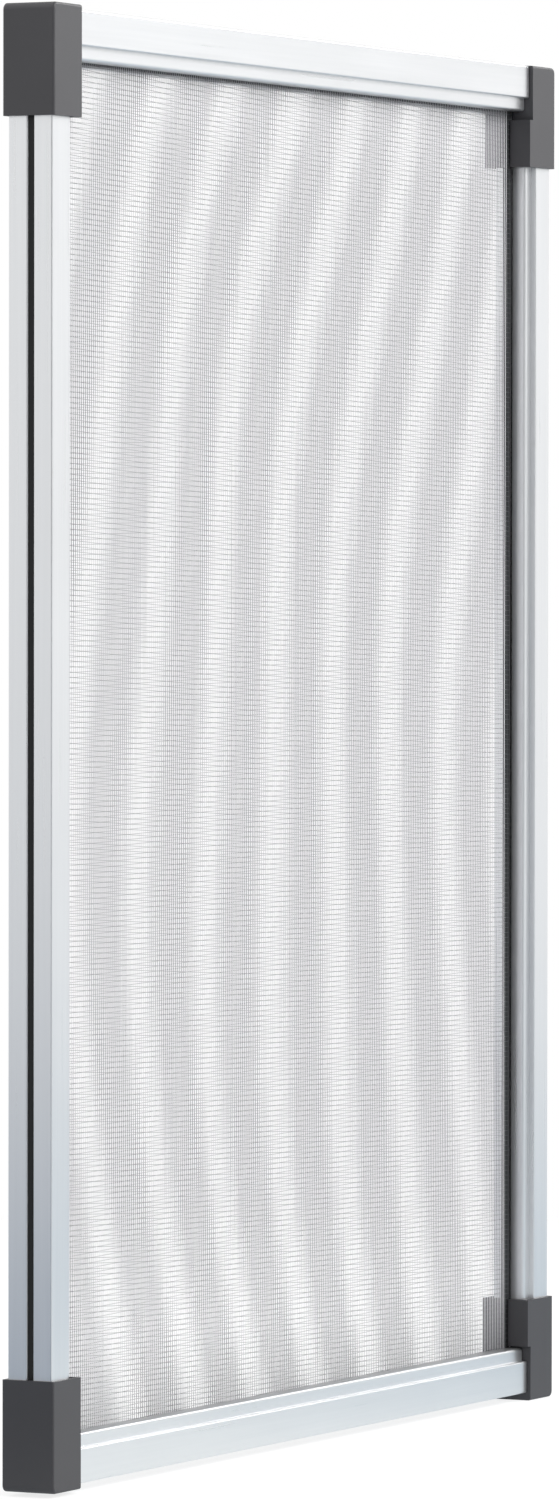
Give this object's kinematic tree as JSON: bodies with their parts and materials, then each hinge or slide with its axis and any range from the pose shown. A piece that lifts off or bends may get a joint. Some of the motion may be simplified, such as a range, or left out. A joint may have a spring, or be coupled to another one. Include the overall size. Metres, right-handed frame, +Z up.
{
  "type": "adjustable window screen",
  "caption": "Adjustable window screen: two framed insect-mesh panels with corner caps that slide apart to fit the width of an open window.",
  "frame": {"origin": "centre of the closed screen's footprint, on the plane of the right lower cap's underside, which is the lowest", "axes": "+X along the width, the way the rear panel slides out; -Y is the front face; +Z up"},
  "size_m": [0.36, 0.0182, 0.4582],
  "materials": {
    "satin_aluminium": "satin clear coat",
    "insect_mesh": "woven coated thread",
    "cord_rubber": "matt",
    "screw_steel": "zinc plated",
    "cap_plastic": "fine matt grain",
    "strip_plastic": "extruded, matt",
    "inner_plastic": "moulded"
  },
  "bodies": {
    "front_panel": {"front_left_stile": "satin_aluminium", "front_top_rail": "satin_aluminium", "front_bottom_rail": "satin_aluminium", "left_backing_stile": "satin_aluminium", "left_spacer": "strip_plastic", "front_screen": "insect_mesh", "front_cord": "cord_rubber", "front_edge_strip": "strip_plastic", "front_strip_screws": "screw_steel", "left_top_cap": "cap_plastic", "left_bottom_cap": "cap_plastic", "front_top_key": "inner_plastic", "front_bottom_key": "inner_plastic", "front_top_plug": "inner_plastic", "front_bottom_plug": "inner_plastic"},
    "rear_panel": {"rear_right_stile": "satin_aluminium", "rear_top_rail": "satin_aluminium", "rear_bottom_rail": "satin_aluminium", "right_facing_stile": "satin_aluminium", "right_spacer": "strip_plastic", "rear_screen": "insect_mesh", "rear_cord": "cord_rubber", "rear_edge_strip": "strip_plastic", "rear_strip_screws": "screw_steel", "right_top_cap": "cap_plastic", "right_bottom_cap": "cap_plastic", "rear_top_key": "inner_plastic", "rear_bottom_key": "inner_plastic", "rear_top_plug": "inner_plastic", "rear_bottom_plug": "inner_plastic"}
  },
  "joints": [
    {"name": "panel_slide", "type": "slide", "parent": "front_panel", "child": "rear_panel", "axis": [1, 0, 0], "range_m": [0, 0.26]}
  ]
}
